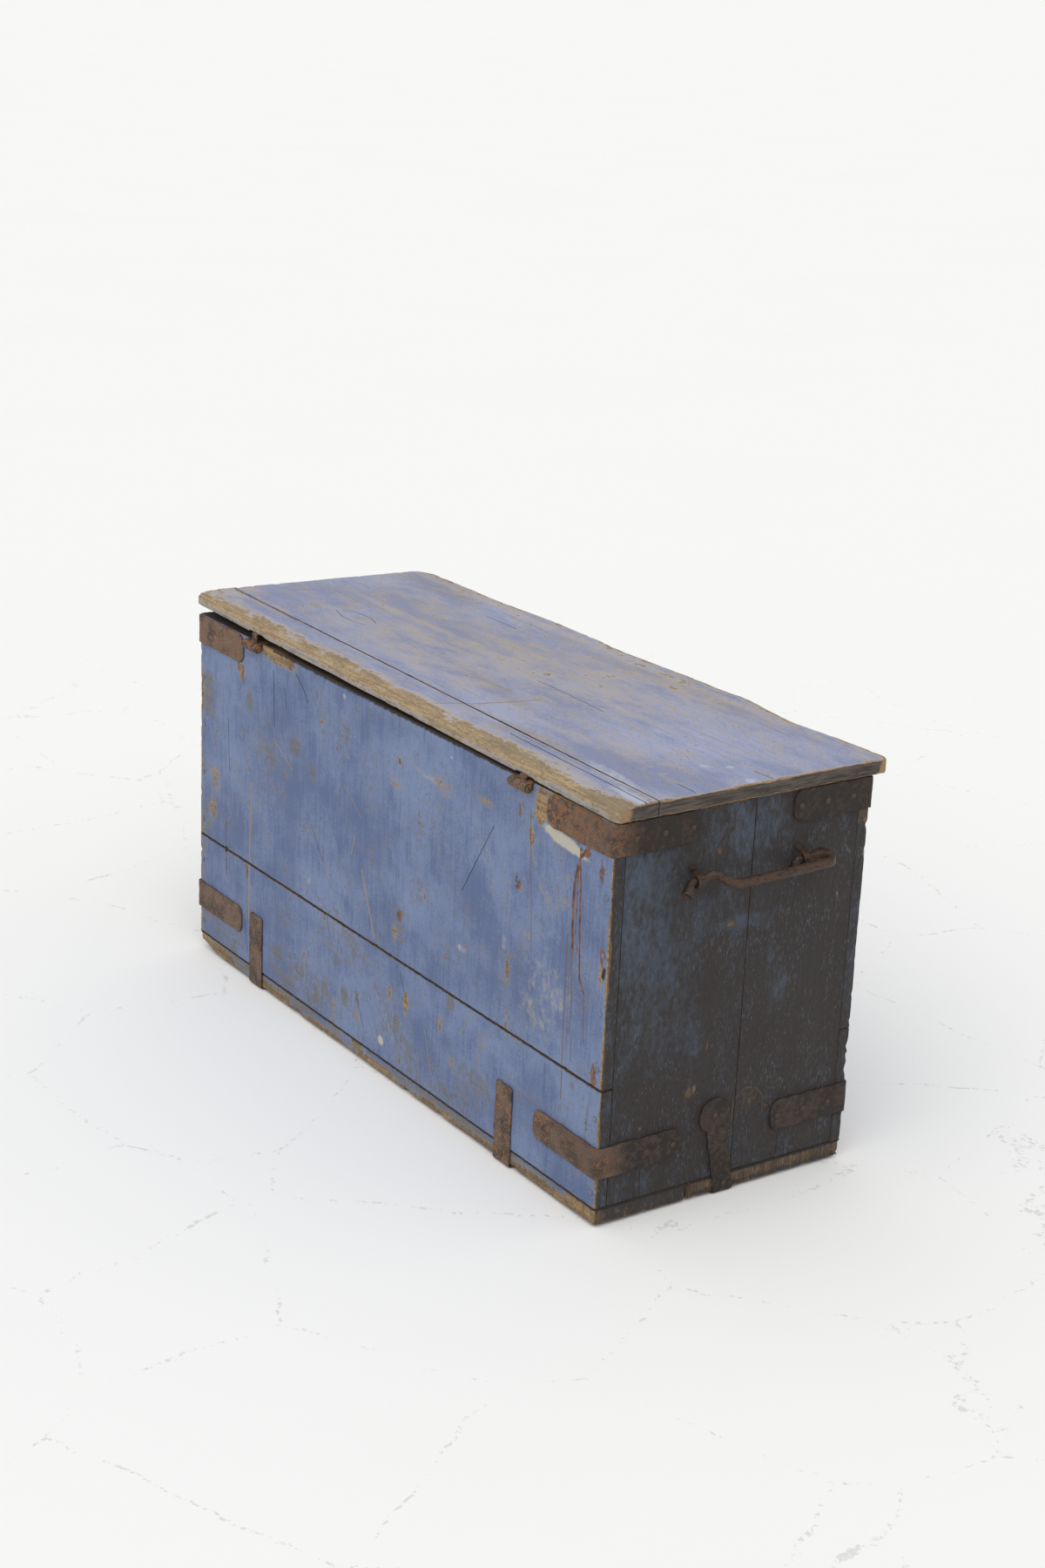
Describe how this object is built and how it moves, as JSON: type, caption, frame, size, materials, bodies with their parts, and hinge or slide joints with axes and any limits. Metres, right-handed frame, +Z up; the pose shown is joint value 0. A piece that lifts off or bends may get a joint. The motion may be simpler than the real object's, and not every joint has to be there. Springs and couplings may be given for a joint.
{
  "type": "wooden trunk",
  "caption": "Old painted plank trunk with forged iron corner straps, base bands, a hinged plank lid and a swinging iron lifting handle at each end.",
  "frame": {"origin": "middle of the whole trunk at floor level, on the underside of the iron bands it stands on", "axes": "+X along the length towards the right end, +Y towards the hinge side, +Z up; the front faces -Y"},
  "size_m": [1.0144, 0.3962, 0.5082],
  "materials": {
    "painted_wood": "worn blue distemper paint over softwood, bare on the edges",
    "forged_iron": "hand-forged wrought iron, rusted brown"
  },
  "bodies": {
    "carcass": {"back_plank_lower": "painted_wood", "front_plank_lower": "painted_wood", "front_plank_upper": "painted_wood", "back_plank_upper": "painted_wood", "left_end_board_back": "painted_wood", "left_end_board_front": "painted_wood", "right_end_board_front": "painted_wood", "right_end_board_back": "painted_wood", "bottom_plank_back": "painted_wood", "bottom_plank_front": "painted_wood", "top_corner_strap_back_left": "forged_iron", "top_corner_strap_front_left": "forged_iron", "top_corner_strap_front_right": "forged_iron", "top_corner_strap_back_right": "forged_iron", "bottom_corner_strap_back_left": "forged_iron", "bottom_corner_strap_front_left": "forged_iron", "bottom_corner_strap_front_right": "forged_iron", "bottom_corner_strap_back_right": "forged_iron", "corner_strap_nails": "forged_iron", "base_band_left": "forged_iron", "base_band_right": "forged_iron", "end_strap_left": "forged_iron", "end_strap_right": "forged_iron", "base_strap_nails": "forged_iron", "hinge_wall_strap_left": "forged_iron", "hinge_wall_strap_right": "forged_iron", "hinge_wall_nails": "forged_iron", "hinge_pins": "forged_iron", "corner_nails": "forged_iron", "bottom_nails": "forged_iron", "handle_staple_left_back": "forged_iron", "handle_staple_right_front": "forged_iron", "handle_staple_left_front": "forged_iron", "handle_staple_right_back": "forged_iron"},
    "lid": {"lid_plank_back": "painted_wood", "lid_plank_main": "painted_wood", "lid_batten_left": "painted_wood", "lid_batten_right": "painted_wood", "lid_batten_nails": "forged_iron", "hinge_lid_strap_left": "forged_iron", "hinge_lid_strap_right": "forged_iron", "hinge_lid_nails": "forged_iron"},
    "left_handle": {"handle_left": "forged_iron"},
    "right_handle": {"handle_right": "forged_iron"}
  },
  "joints": [
    {"name": "lid_hinge", "type": "hinge", "parent": "carcass", "child": "lid", "pos_m": [0, 0.19215, 0.47452], "axis": [-1, 0, 0], "range_deg": [0, 195]},
    {"name": "left_handle_swing", "type": "hinge", "parent": "carcass", "child": "left_handle", "pos_m": [-0.4845, 0.00587, 0.4015], "axis": [0, 1, 0], "range_deg": [0, 110]},
    {"name": "right_handle_swing", "type": "hinge", "parent": "carcass", "child": "right_handle", "pos_m": [0.4845, 0.00587, 0.4015], "axis": [0, -1, 0], "range_deg": [0, 110]}
  ]
}
